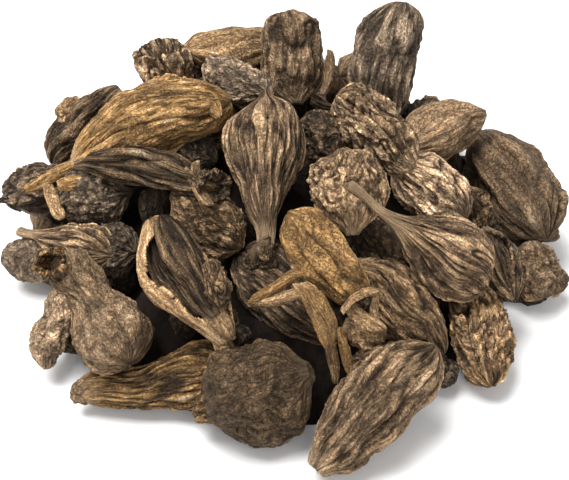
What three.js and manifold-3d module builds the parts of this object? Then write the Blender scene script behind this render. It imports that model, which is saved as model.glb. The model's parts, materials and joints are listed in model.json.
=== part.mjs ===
// A heap of dried black cardamom pods, lying as it was poured on a flat surface.
//
// Millimetres, +Z up. The origin lies on the surface, under the middle of the heap.
// A pod lies between its stalk and its nose. Both are given as readings, [column, row, height]:
// where the point stands in a picture of 569 x 480 pixels, and how many millimetres it is up.

import * as THREE from 'three';
import { mergeVertices } from 'three/addons/utils/BufferGeometryUtils.js';
import Module from 'manifold-3d';

const wasm = await Module();
wasm.setup();

// ---- Driving dimensions ----

const HEAP_RADIUS = 57;       // of the dome that the rear pods lie on
const HEAP_HEIGHT = 40;
const POD_LENGTH = [20, 31];  // shortest and longest pod of the rear
const POD_WIDTH = [11, 15.5]; // narrowest and widest pod of the rear
const POD_THICKNESS = 0.88;   // depth of a pod as a share of its width
const POD_SIDES = 8;
const REAR_POD_SIDES = 6;
const LOWER_POD_SIDES = 5;
const LOBE = 0.05;            // how far the three faces of a pod round off from a circle

const CORE_RADIUS = 44;       // of the packed inside of the heap
const CORE_MIDDLE = [0.9, 2.8];
const CORE_DEPTH = 12;        // under the axes of the pods that lie on it
const CORE_LOWEST = 4;
const CORE_BLEND = 12;        // the larger, the smoother it is from pod to pod
const CORE_EDGE = 0.35;       // the smaller, the steeper its rim
const CORE_SIDES = 24;
const CORE_RINGS = 7;

const HUSK_WALL = 1.6;        // of a pod that has split open
const STRIP_THICKNESS = 0.9;  // of a torn strip of husk

const SMALLEST_DETAIL = 0.08; // finer edges are left out where pods run into each other

// ---- The view that the readings were taken in ----

const VIEW_ELEVATION = THREE.MathUtils.degToRad(42);
const VIEW_DISTANCE = 290;
const VIEW_TARGET = new THREE.Vector3(0.9, -3.7, 12);
const PICTURE_MIDDLE = { column: 284.5, row: 240 };
const PIXELS_PER_MM = 5.1;    // at the target

const TO_EYE = new THREE.Vector3(0, -Math.cos(VIEW_ELEVATION), Math.sin(VIEW_ELEVATION));
const VIEW_UP = new THREE.Vector3(0, Math.sin(VIEW_ELEVATION), Math.cos(VIEW_ELEVATION));
const VIEW_RIGHT = new THREE.Vector3(1, 0, 0);
const EYE = VIEW_TARGET.clone().addScaledVector(TO_EYE, VIEW_DISTANCE);

// ---- Outlines of the kinds of pod ----
// [share of the length from the stalk, share of the half width]

const OUTLINES = {
  pear: [[0, 0.2], [0.15, 0.23], [0.3, 0.48], [0.46, 0.74], [0.64, 1], [0.8, 0.93], [0.91, 0.6], [1, 0.15]],
  stalked: [[0, 0.14], [0.28, 0.16], [0.38, 0.37], [0.55, 0.86], [0.7, 1], [0.86, 0.85], [0.94, 0.48], [1, 0.13]],
  round: [[0, 0.18], [0.06, 0.3], [0.16, 0.68], [0.34, 0.94], [0.54, 1], [0.76, 0.87], [0.9, 0.52], [1, 0.13]],
  long: [[0, 0.3], [0.1, 0.61], [0.24, 0.86], [0.42, 0.98], [0.62, 0.99], [0.82, 0.86], [0.93, 0.58], [1, 0.18]],
  broad: [[0, 0.2], [0.08, 0.5], [0.22, 0.85], [0.4, 1], [0.58, 0.96], [0.76, 0.75], [0.9, 0.42], [1, 0.14]],
  open: [[0, 0.24], [0.1, 0.5], [0.27, 0.82], [0.45, 1], [0.65, 1], [0.8, 0.84], [0.93, 0.5], [1, 0.2]],
  club: [[0, 0.35], [0.08, 0.54], [0.35, 0.62], [0.55, 0.76], [0.74, 0.98], [0.86, 0.96], [0.95, 0.65], [1, 0.3]],
  cup: [[0, 0.45], [0.12, 0.62], [0.35, 0.8], [0.7, 0.95], [1, 1]],
};

// ---- The pods that show from the front ----
// name, kind, nose reading, stalk reading, width, sideways bow

const SHOWN_PODS = [
  ['middle', 'pear', [266, 92, 38], [264, 266, 20], 15.2, 0],
  ['golden_left', 'long', [226, 101, 36], [72, 168, 22], 14.2, 3.2],
  ['left_back', 'long', [51, 160, 12], [122, 90, 24], 9.4, 0],
  ['left_far', 'long', [60, 117, 18], [84, 106, 21], 5.5, 0],
  ['left_open', 'open', [4, 198, 10], [92, 180, 18], 13, 0],
  ['left_seeds', 'round', [134, 193, 20], [57, 200, 16], 13, 0],
  ['left_ribbed', 'pear', [114, 257, 16], [20, 229, 12], 9.5, 0],
  ['left_under', 'round', [136, 256, 15], [86, 244, 13], 10.5, 0],
  ['left_low', 'long', [2, 264, 6], [72, 252, 8], 9.5, 0],
  ['left_broken', 'long', [132, 363, 10], [66, 256, 17], 15, -0.5],
  ['left_front', 'long', [46, 370, 4], [69, 286, 14], 7.6, 0],
  ['split_middle', 'open', [148, 221, 28], [227, 341, 15], 13.6, 1.4],
  ['curled_left', 'long', [218, 188, 28], [78, 162, 25], 8.2, 1.5],
  ['dark_small', 'round', [216, 162, 26], [176, 146, 25], 8, 0],
  ['dark_round', 'round', [242, 250, 19], [172, 196, 23], 12.5, 0],
  ['grey_back', 'round', [272, 100, 34], [202, 68, 32], 10.5, 0],
  ['back_stub', 'cup', [158, 47, 33], [178, 112, 18], 11.8, 0],
  ['back_gold', 'long', [192, 44, 31], [276, 32, 30], 8.8, 1.2],
  ['back_upright', 'long', [290, 8, 40], [294, 106, 26], 13.5, 0],
  ['back_tall', 'long', [400, 1, 42], [386, 128, 24], 14.6, 1.5],
  ['back_pale', 'broad', [486, 111, 26], [402, 150, 25], 12.5, 0],
  ['rough_top', 'long', [339, 93, 36], [414, 169, 27], 12.4, 0],
  ['round_middle', 'round', [340, 147, 37], [352, 232, 26], 15, 0],
  ['right_stalked', 'stalked', [488, 284, 15], [350, 188, 36], 15, 0],
  ['right_oval', 'long', [468, 218, 20], [398, 164, 26], 12, 0],
  ['right_small', 'long', [482, 232, 14], [464, 186, 19], 8, 0],
  ['right_broad', 'long', [546, 239, 10], [480, 135, 17], 16.8, 0],
  ['right_under', 'round', [508, 246, 5], [472, 198, 9], 12, 0],
  ['right_low', 'long', [546, 297, 4], [531, 240, 11], 9.8, 0],
  ['right_open', 'open', [512, 298, 12], [486, 230, 19], 9, 0],
  ['right_tan', 'long', [490, 384, 5], [468, 278, 11], 11.7, 0],
  ['right_ribbed', 'long', [442, 352, 9], [350, 258, 23], 11.5, 0],
  ['dark_right', 'round', [398, 290, 13], [352, 212, 20], 11, 0],
  ['golden_middle', 'long', [294, 213, 33], [357, 305, 20], 12.6, 0],
  ['front_under', 'long', [238, 256, 16], [340, 340, 10], 15, 0],
  ['front_round', 'round', [204, 410, 6], [308, 372, 13], 20, 0],
  ['front_right', 'long', [432, 346, 15], [312, 472, 4], 15, 0.8],
  ['front_long', 'club', [236, 370, 8], [80, 393, 4], 12.4, -0.3],
  ['front_hidden', 'long', [453, 378, 4], [410, 356, 6], 7, 0],
  ['top_small', 'round', [310, 112, 31], [338, 160, 27], 9, 0],
  ['low_knob', 'long', [566, 285, 4], [540, 276, 8], 6.4, 0],
];

// How far a split pod is turned about its axis, in degrees, from facing the viewer.
const ROLLS = { split_middle: 38, left_open: -75, right_open: 20 };

// ---- The torn strips of husk on the front ----
// name, width, readings along the strip

const STRIPS = [
  ['prong_upper', 2.2, [[310, 276, 27], [284, 286, 24], [257, 300, 19]]],
  ['prong_lower', 2, [[304, 302, 24], [282, 306, 21], [257, 305, 18]]],
  ['strap', 2.8, [[298, 286, 26], [314, 304, 22], [326, 330, 18], [331, 352, 13], [331, 378, 9]]],
  ['curl', 2, [[344, 312, 20], [362, 294, 23], [380, 290, 23], [385, 304, 20], [381, 326, 17]]],
];

// ---- The rear, which a rule fills ----

const REAR_SEED = 5;
const REAR_DRAWS = 6000;
const REAR_LIMIT = 40;         // pods at most
const REAR_KINDS = ['pear', 'stalked', 'round', 'long', 'broad', 'open'];
const REAR_DEEPEST = 9;        // how far under the dome the last pods lie, in the gaps
const REAR_SINK = 3;           // how deep two pods may reach into each other
const REAR_MIDDLE = [-0.1, 0.8]; // the middle of the dome
const REAR_FROM = 15;          // where the rear begins behind the middle line
const REAR_SKEW = 0.42;        // and how much nearer it begins towards the sides
const REAR_STEEPEST = 0.75;    // rise of a pod as a share of its length
const REAR_CLEAR = { column: 425, row: 110 }; // none shows right of this column and above this row
const GAP_SAMPLES = 6;         // points along a pod at which gaps are measured

// ---- The lower pods, which carry those that show ----

const LOWER_WIDTH = 9;
const LOWER_UNDER = 0.55;      // where on the upper pod's length
const LOWER_REACH = 0.3;       // and how far under its axis, as a share of its width
const LOWER_FOOT = [5, 2];     // how far inside the rim of the packed inside it stands, and how high

// A plain counter that gives the same draws each time.
function drawsOf(seed) {
  let state = seed;
  return (low, high) => {
    state = (Math.imul(state, 1664525) + 1013904223) >>> 0;
    return low + (high - low) * state / 4294967296;
  };
}

// The point of a reading: where its line of sight is the given height up.
function pointOf([column, row, height]) {
  const sight = TO_EYE.clone().multiplyScalar(-PIXELS_PER_MM * VIEW_DISTANCE);
  sight.addScaledVector(VIEW_RIGHT, column - PICTURE_MIDDLE.column);
  sight.addScaledVector(VIEW_UP, PICTURE_MIDDLE.row - row);
  return EYE.clone().addScaledVector(sight, (height - EYE.z) / sight.z);
}

// The column and row at which a point shows.
function readingOf(point) {
  const sight = point.clone().sub(EYE);
  const scale = PIXELS_PER_MM * VIEW_DISTANCE / -sight.dot(TO_EYE);
  return {
    column: PICTURE_MIDDLE.column + sight.dot(VIEW_RIGHT) * scale,
    row: PICTURE_MIDDLE.row - sight.dot(VIEW_UP) * scale,
  };
}

function shareAt(outline, along) {
  const next = Math.max(1, outline.findIndex(([station]) => station >= along));
  const [s0, r0] = outline[next - 1];
  const [s1, r1] = outline[next];
  return THREE.MathUtils.mapLinear(along, s0, s1, r0, r1);
}

// Balls that fill a pod, to measure the gap to its neighbours.
function ballsAlong(pod) {
  return Array.from({ length: GAP_SAMPLES }, (_, i) => {
    const along = (i + 0.5) / GAP_SAMPLES;
    const radius = shareAt(OUTLINES[pod.kind], along) * pod.width / 2;
    return { centre: pod.stalk.clone().lerp(pod.nose, along), radius };
  });
}

function shownPods() {
  return SHOWN_PODS.map(([name, kind, noseReading, stalkReading, width, bow]) => {
    const nose = pointOf(noseReading);
    const stalk = pointOf(stalkReading);
    const roll = THREE.MathUtils.degToRad(ROLLS[name] ?? 0);
    const faces = TO_EYE.clone().applyAxisAngle(nose.clone().sub(stalk).normalize(), roll);
    const pod = { name, kind, width, bow, nose, stalk, faces };
    return { ...pod, balls: ballsAlong(pod) };
  });
}

function gapBetween(a, b) {
  const gaps = a.balls.flatMap((ball) => b.balls.map((other) => (
    ball.centre.distanceTo(other.centre) - ball.radius - other.radius
  )));
  return Math.min(...gaps);
}

function showsInClear(pod) {
  return [0, 0.5, 1].some((along) => {
    const { column, row } = readingOf(pod.stalk.clone().lerp(pod.nose, along));
    return column > REAR_CLEAR.column && row < REAR_CLEAR.row;
  });
}

// Pods lie on the rear of a dome, each turned as chance has it, and none below the surface.
function rearPods(shown) {
  const draw = drawsOf(REAR_SEED);
  const pods = [];
  for (let i = 0; i < REAR_DRAWS && pods.length < REAR_LIMIT; i++) {
    const round = draw(0, Math.PI * 2);
    const domeRise = draw(0, 1);
    const reach = Math.sqrt(1 - domeRise ** 2);
    const length = draw(...POD_LENGTH);
    const width = draw(...POD_WIDTH);
    const yaw = draw(0, Math.PI * 2);
    const sunk = REAR_DEEPEST * i / REAR_DRAWS;
    const kind = REAR_KINDS[Math.floor(draw(0, REAR_KINDS.length))];
    const outward = new THREE.Vector3(Math.sin(round), Math.cos(round), 0);
    const faces = outward.clone().multiplyScalar(HEAP_HEIGHT * reach).setZ(HEAP_RADIUS * domeRise).normalize();
    const middle = outward.clone().multiplyScalar(HEAP_RADIUS * reach).setZ(HEAP_HEIGHT * domeRise);
    middle.add(new THREE.Vector3(...REAR_MIDDLE, 0)).addScaledVector(faces, -width / 2 - sunk);
    const level = new THREE.Vector3(outward.y, -outward.x, 0);
    const downhill = new THREE.Vector3().crossVectors(level, faces);
    const along = level.multiplyScalar(Math.cos(yaw)).addScaledVector(downhill, Math.sin(yaw));
    const pod = {
      name: `rear_${pods.length}`, kind, width, bow: 0, faces,
      nose: middle.clone().addScaledVector(along, length / 2),
      stalk: middle.clone().addScaledVector(along, -length / 2),
    };
    const belly = middle.z - width / 2 * POD_THICKNESS;
    const lowestEnd = Math.min(pod.nose.z, pod.stalk.z) - width / 8;
    const inRear = middle.y > REAR_FROM - REAR_SKEW * Math.abs(middle.x);
    const lies = Math.min(belly, lowestEnd) > -REAR_SINK && Math.abs(along.z) < REAR_STEEPEST;
    pod.balls = ballsAlong(pod);
    const fits = inRear && lies && !showsInClear(pod);
    if (fits && [...shown, ...pods].every((other) => gapBetween(pod, other) > -REAR_SINK)) {
      pods.push(pod);
    }
  }
  return pods;
}

// A turned form laid between the stalk and the nose, flattened and three-sided as a pod is.
// A lower pod hardly shows, so it has every other station of its outline only.
function podGeometry(pod, sides, shrink = 0) {
  const { stalk, nose, width, bow, faces } = pod;
  const axis = nose.clone().sub(stalk);
  const length = axis.length();
  axis.normalize();
  const side = new THREE.Vector3().crossVectors(faces, axis).normalize();
  const depth = new THREE.Vector3().crossVectors(side, axis);
  const half = width / 2 - shrink;
  const inset = shrink / length;
  const plainer = sides === LOWER_POD_SIDES;
  const outline = OUTLINES[pod.kind].filter((_, i) => !plainer || i % 2 === 1);
  const profile = outline.map(([along, share]) => (
    new THREE.Vector2(share, inset + along * (1 - 2 * inset))
  ));
  profile.unshift(new THREE.Vector2(0, inset));
  profile.push(new THREE.Vector2(0, 1 - inset));
  const geometry = new THREE.LatheGeometry(profile, sides);
  const place = geometry.attributes.position;
  const point = new THREE.Vector3();
  for (let i = 0; i < place.count; i++) {
    point.fromBufferAttribute(place, i);
    const along = point.y;
    const angle = Math.atan2(point.z, point.x);
    const radius = Math.hypot(point.x, point.z) * half * (1 - LOBE + LOBE * Math.cos(3 * angle + width));
    const sideways = Math.cos(angle) * radius + bow * 4 * along * (1 - along);
    point.copy(stalk).addScaledVector(axis, along * length);
    point.addScaledVector(side, sideways);
    point.addScaledVector(depth, Math.sin(angle) * radius * POD_THICKNESS);
    place.setXYZ(i, point.x, point.y, point.z);
  }
  return geometry;
}

// A flat strip with a diamond section that follows a smooth line through its readings.
function stripGeometry(width, readings) {
  const line = new THREE.CatmullRomCurve3(readings.map(pointOf));
  const steps = readings.length * 2;
  const section = new THREE.Shape();
  section.moveTo(-STRIP_THICKNESS, 0);
  section.lineTo(0, -width / 2);
  section.lineTo(STRIP_THICKNESS, 0);
  section.lineTo(0, width / 2);
  section.closePath();
  return new THREE.ExtrudeGeometry(section, { steps, extrudePath: line });
}

// The height of the pods' axes over a point of the surface, blended from pod to pod.
function moundHeight(pods) {
  const marks = pods.flatMap((pod) => [0.15, 0.35, 0.6, 0.85].map((along) => pod.stalk.clone().lerp(pod.nose, along)));
  return (x, y) => {
    let weights = 0;
    let total = 0;
    for (const mark of marks) {
      const away = (mark.x - x) ** 2 + (mark.y - y) ** 2;
      const weight = (mark.z / (away + CORE_BLEND)) ** 2;
      weights += weight;
      total += weight * mark.z;
    }
    return total / weights;
  };
}

// Under a pod that would touch nothing another stands on end, and reaches up to its belly.
function lowerPod(pod) {
  const [inside, height] = LOWER_FOOT;
  const nose = pod.stalk.clone().lerp(pod.nose, LOWER_UNDER);
  nose.z -= LOWER_REACH * pod.width;
  const away = new THREE.Vector3(nose.x - CORE_MIDDLE[0], nose.y - CORE_MIDDLE[1], 0);
  const faces = new THREE.Vector3(-away.y, away.x, 0).normalize();
  away.clampLength(0, CORE_RADIUS - inside);
  const stalk = new THREE.Vector3(CORE_MIDDLE[0] + away.x, CORE_MIDDLE[1] + away.y, height);
  return { kind: 'long', width: LOWER_WIDTH, bow: 0, nose, stalk, faces };
}

// The packed inside is a mound under the pods that lie on it.
function coreGeometry(pods) {
  const heightAt = moundHeight(pods);
  const profile = [new THREE.Vector2(0, 0)];
  for (let ring = 0; ring <= CORE_RINGS; ring++) {
    const angle = ring / CORE_RINGS * Math.PI / 2;
    profile.push(new THREE.Vector2(Math.cos(angle) ** CORE_EDGE, Math.sin(angle) ** CORE_EDGE));
  }
  profile[profile.length - 1].x = 0;
  const geometry = new THREE.LatheGeometry(profile, CORE_SIDES);
  geometry.rotateX(Math.PI / 2);
  geometry.scale(CORE_RADIUS, CORE_RADIUS, 1);
  geometry.translate(...CORE_MIDDLE, 0);
  const place = geometry.attributes.position;
  for (let i = 0; i < place.count; i++) {
    const top = Math.max(heightAt(place.getX(i), place.getY(i)) - CORE_DEPTH, CORE_LOWEST);
    place.setZ(i, place.getZ(i) * top);
  }
  return geometry;
}

// ---- Joining ----

function solidOf(geometry) {
  geometry.deleteAttribute('normal');
  geometry.deleteAttribute('uv');
  const merged = mergeVertices(geometry, 1e-4);
  const corners = Array.from(merged.index.array);
  const triangles = [];
  for (let i = 0; i < corners.length; i += 3) {
    const [a, b, c] = corners.slice(i, i + 3);
    if (a !== b && b !== c && c !== a) {
      triangles.push(a, b, c);
    }
  }
  return new wasm.Manifold(new wasm.Mesh({
    numProp: 3,
    vertProperties: new Float32Array(merged.attributes.position.array),
    triVerts: new Uint32Array(triangles),
  }));
}

// A split pod is a husk: a smaller pod, moved towards what the husk faces, is cut out of it.
function huskSolid(pod) {
  const outside = solidOf(podGeometry(pod, POD_SIDES));
  const lift = pod.faces.clone().multiplyScalar(pod.width * 0.3);
  const inside = { ...pod, stalk: pod.stalk.clone().add(lift), nose: pod.nose.clone().add(lift) };
  return outside.subtract(solidOf(podGeometry(inside, POD_SIDES, HUSK_WALL)));
}

function podSolid(pod, sides) {
  return pod.kind === 'open' && sides === POD_SIDES ? huskSolid(pod) : solidOf(podGeometry(pod, sides));
}

function joinAll(solids) {
  return solids.reduce((joined, solid) => joined.add(solid));
}

function largestBody(solid) {
  return solid.decompose().reduce((most, body) => (body.volume() > most.volume() ? body : most));
}

function heapSolid() {
  const shown = shownPods();
  const rear = rearPods(shown);
  const lying = [...shown, ...rear];
  const core = solidOf(coreGeometry(lying));
  const solids = [
    ...shown.map((pod) => podSolid(pod, POD_SIDES)),
    ...rear.map((pod) => podSolid(pod, REAR_POD_SIDES)),
  ];
  const joined = largestBody(joinAll([core, ...solids]));
  const loose = lying.filter((_, i) => solids[i].intersect(joined).isEmpty());
  const rest = [
    ...loose.map((pod) => podSolid(lowerPod(pod), LOWER_POD_SIDES)),
    ...STRIPS.map(([, width, readings]) => solidOf(stripGeometry(width, readings))),
  ];
  const below = new THREE.BoxGeometry(400, 400, 100).translate(0, 0, -50);
  // A gap that the pods shut in all round is filled, and a scrap that touches nothing is dropped.
  const whole = largestBody(joinAll([core, ...solids, ...rest]).subtract(solidOf(below)));
  return whole.asOriginal().simplify(SMALLEST_DETAIL);
}

function geometryOf(solid) {
  const { vertProperties, triVerts } = solid.getMesh();
  const geometry = new THREE.BufferGeometry();
  geometry.setAttribute('position', new THREE.BufferAttribute(vertProperties, 3));
  geometry.setIndex(new THREE.BufferAttribute(triVerts, 1));
  geometry.computeVertexNormals();
  return geometry;
}

const husk = new THREE.MeshStandardMaterial({ color: 0x6a4d33, roughness: 0.85, metalness: 0 });
const podHeap = new THREE.Mesh(geometryOf(heapSolid()), husk);
podHeap.name = 'pod_heap';

const heap = new THREE.Group();
heap.add(podHeap);

export default heap;
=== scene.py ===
import json
import math

import bpy
from mathutils import Matrix, Vector

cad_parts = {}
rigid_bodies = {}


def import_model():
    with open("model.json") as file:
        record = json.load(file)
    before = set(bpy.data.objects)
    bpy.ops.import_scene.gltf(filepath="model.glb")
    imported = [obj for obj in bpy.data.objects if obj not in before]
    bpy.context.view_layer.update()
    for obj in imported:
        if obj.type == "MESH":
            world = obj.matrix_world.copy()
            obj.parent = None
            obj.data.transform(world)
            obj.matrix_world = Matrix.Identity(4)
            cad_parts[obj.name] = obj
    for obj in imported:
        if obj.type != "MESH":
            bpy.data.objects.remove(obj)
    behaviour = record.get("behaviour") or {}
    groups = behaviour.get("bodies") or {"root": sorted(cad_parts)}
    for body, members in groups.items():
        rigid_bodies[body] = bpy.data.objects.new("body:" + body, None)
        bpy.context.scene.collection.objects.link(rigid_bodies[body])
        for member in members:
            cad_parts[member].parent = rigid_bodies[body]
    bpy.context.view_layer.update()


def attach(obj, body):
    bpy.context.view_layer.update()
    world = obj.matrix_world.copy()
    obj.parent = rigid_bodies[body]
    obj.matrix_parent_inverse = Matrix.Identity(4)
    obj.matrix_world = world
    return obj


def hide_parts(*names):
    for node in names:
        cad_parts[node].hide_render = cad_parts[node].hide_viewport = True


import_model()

bl_info = {
    "name": "Heap of Black Cardamom Pods",
    "version": (1, 0, 0),
    "blender": (4, 5, 0),
    "location": "View3D > Sidebar > Pod Heap",
    "description": "Models a loose heap of dried black cardamom pods, its split husks and the light on it",
    "category": "Object",
}

# A pod lies between its stalk and its nose. Both are given as readings, [column, row, height]:
# where the point stands in a picture of 569 x 480 pixels, and how many millimetres it is up.

MM = 0.001

# ---- The view that the readings were taken in ----

VIEW_ELEVATION = math.radians(42)
VIEW_DISTANCE = 290 * MM
VIEW_TARGET = Vector((0.9, -3.7, 12)) * MM
PICTURE_SIZE = (569, 480)
PICTURE_MIDDLE = (284.5, 240)
PIXELS_PER_METRE = 5100
SENSOR_WIDTH = 36

TO_EYE = Vector((0, -math.cos(VIEW_ELEVATION), math.sin(VIEW_ELEVATION)))
VIEW_UP = Vector((0, math.sin(VIEW_ELEVATION), math.cos(VIEW_ELEVATION)))
VIEW_RIGHT = Vector((1, 0, 0))
EYE = VIEW_TARGET + TO_EYE * VIEW_DISTANCE

# ---- Outlines of the kinds of pod: share of the length, share of the half width ----

OUTLINES = {
    "pear": [
        (0, 0.2), (0.15, 0.23), (0.3, 0.48), (0.46, 0.74), (0.64, 1), (0.8, 0.93), (0.91, 0.6), (1, 0.15),
    ],
    "stalked": [
        (0, 0.14), (0.28, 0.16), (0.38, 0.37), (0.55, 0.86), (0.7, 1), (0.86, 0.85), (0.94, 0.48), (1, 0.13),
    ],
    "round": [
        (0, 0.18), (0.06, 0.3), (0.16, 0.68), (0.34, 0.94), (0.54, 1), (0.76, 0.87), (0.9, 0.52), (1, 0.13),
    ],
    "long": [
        (0, 0.3), (0.1, 0.61), (0.24, 0.86), (0.42, 0.98), (0.62, 0.99), (0.82, 0.86), (0.93, 0.58), (1, 0.18),
    ],
    "broad": [
        (0, 0.2), (0.08, 0.5), (0.22, 0.85), (0.4, 1), (0.58, 0.96), (0.76, 0.75), (0.9, 0.42), (1, 0.14),
    ],
    "open": [(0, 0.24), (0.1, 0.5), (0.27, 0.82), (0.45, 1), (0.65, 1), (0.8, 0.84), (0.93, 0.5), (1, 0.2)],
    "club": [
        (0, 0.35), (0.08, 0.54), (0.35, 0.62), (0.55, 0.76), (0.74, 0.98), (0.86, 0.96), (0.95, 0.65), (1, 0.3),
    ],
    "cup": [(0, 0.45), (0.12, 0.62), (0.35, 0.8), (0.7, 0.95), (1, 1)],
}

# The same outlines with the stub of the stalk and the dried knob at the nose, for the modelled pods.
PROFILES = {
    "pear": [
        (0, 0.2), (0.1, 0.21), (0.18, 0.26), (0.27, 0.42), (0.36, 0.58), (0.46, 0.74), (0.56, 0.91), (0.66, 1),
        (0.76, 0.98), (0.84, 0.87), (0.9, 0.67), (0.935, 0.38), (0.955, 0.22), (0.98, 0.19), (1, 0.13),
    ],
    "stalked": [
        (0, 0.15), (0.16, 0.13), (0.3, 0.17), (0.37, 0.34), (0.45, 0.6), (0.55, 0.86), (0.66, 0.99),
        (0.76, 0.98), (0.86, 0.85), (0.92, 0.64), (0.955, 0.38), (0.975, 0.22), (1, 0.13),
    ],
    "round": [
        (0, 0.18), (0.04, 0.22), (0.09, 0.42), (0.16, 0.68), (0.26, 0.87), (0.4, 0.98), (0.52, 1), (0.66, 0.96),
        (0.78, 0.85), (0.87, 0.66), (0.925, 0.42), (0.95, 0.25), (0.98, 0.2), (1, 0.13),
    ],
    "long": [
        (0, 0.3), (0.05, 0.46), (0.13, 0.69), (0.24, 0.86), (0.4, 0.97), (0.56, 1), (0.7, 0.97), (0.82, 0.86),
        (0.9, 0.7), (0.955, 0.47), (0.98, 0.3), (1, 0.18),
    ],
    "broad": [
        (0, 0.2), (0.05, 0.38), (0.12, 0.64), (0.24, 0.88), (0.4, 1), (0.55, 0.98), (0.7, 0.85), (0.82, 0.62),
        (0.9, 0.42), (0.95, 0.27), (1, 0.14),
    ],
    "club": [
        (0, 0.35), (0.04, 0.48), (0.1, 0.56), (0.2, 0.6), (0.35, 0.62), (0.5, 0.71), (0.64, 0.87), (0.76, 0.99),
        (0.86, 0.97), (0.93, 0.78), (0.97, 0.52), (1, 0.3),
    ],
    "cup": OUTLINES["cup"],
    "strip": [(0, 0.7), (0.1, 0.85), (0.3, 1), (0.7, 1), (0.9, 0.8), (1, 0.5)],
    "open": [
        (0, 0.24), (0.06, 0.4), (0.15, 0.62), (0.27, 0.82), (0.45, 1), (0.65, 1), (0.78, 0.88), (0.88, 0.68),
        (0.95, 0.42), (1, 0.2),
    ],
}

# Share of the length that is stalk, where the husk is smooth.
NECKS = {
    "pear": 0.2, "stalked": 0.33, "round": 0.04, "long": 0.03, "broad": 0.04, "open": 0.08, "club": 0.04,
    "strip": 0.01, "cup": 0.01,
}

# ---- How a husk is wrinkled ----
# ridges: how many go round. run: how many follow each other along the pod. wander: how far they stray.
# Depths in millimetres of the folds, ribs, ridges, thin raised crests, fine ridges and crumples.
# The last column: how dark the creases are painted, partly dirt and partly painted shade.

WRINKLE_PARTS = ("ridges", "run", "wander", "folds", "ribs", "ridge", "crest", "fine", "crumple", "stain")
WRINKLES = {
    "ribbed": (26, 3, 0.5, 0.5, 0.3, 0.65, 0.1, 0.35, 0.25, 1),
    "coarse": (18, 3, 0.6, 0.7, 0.5, 0.75, 0.1, 0.3, 0.25, 0.9),
    "net": (26, 7, 1.2, 0.5, 0.4, 0.45, 0.2, 0.35, 0.35, 0.9),
    "rough": (16, 5, 1.6, 1.2, 0.7, 0.6, 0.4, 0.35, 0.35, 1),
    "cracked": (30, 4.5, 1.0, 0.9, 0.5, 0.4, 0.1, 0.35, 0.3, 0.8),
    "furrowed": (9, 1.6, 0.7, 1.2, 0.9, 0.8, 0, 0.2, 0.3, 0.6),
    "lumpy": (12, 5, 1, 0.9, 1.3, 0.35, 0.2, 0.3, 0.4, 0.6),
    "fine": (20, 8, 1.2, 0.1, 0.6, 0.3, 0.1, 0.3, 0.5, 0.6),
    "bare": (12, 2, 0.8, 0.6, 0.35, 0.06, 0, 0.06, 0.06, 0.25),
    "smooth": (16, 2, 0.6, 0.9, 0.5, 0.25, 0.15, 0.15, 0.12, 0.5),
    "pleated": (22, 1.2, 0.4, 0.9, 0.8, 1.0, 0.3, 0.3, 0.2, 1),
}
RIDGES_WIDTH = 13       # the ridges are counted on a pod of this width
AXIS_DRIFT = 4          # how far a pod's axis drifts
DRIFT_SCALE = 75.0      # and how often it turns, in each metre
FINE_OVER = 11.6        # a wider pod is modelled in fine detail
SLIM_UNDER = 12         # a long pod that is less wide is joined to the slim ones

# ---- Hues of the husk: share of gold, share of grey ----

HUES = {
    "brown": (0.1, 0.1), "pale": (0.05, 0.45), "grey": (0, 0.8), "tan": (0.35, 0), "gold": (1, 0),
    "red": (0, -0.2),
}

# ---- The pods that show from the front ----
# name, kind, nose reading, stalk reading, width, sideways bow, wrinkles, hue, lightness

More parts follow.
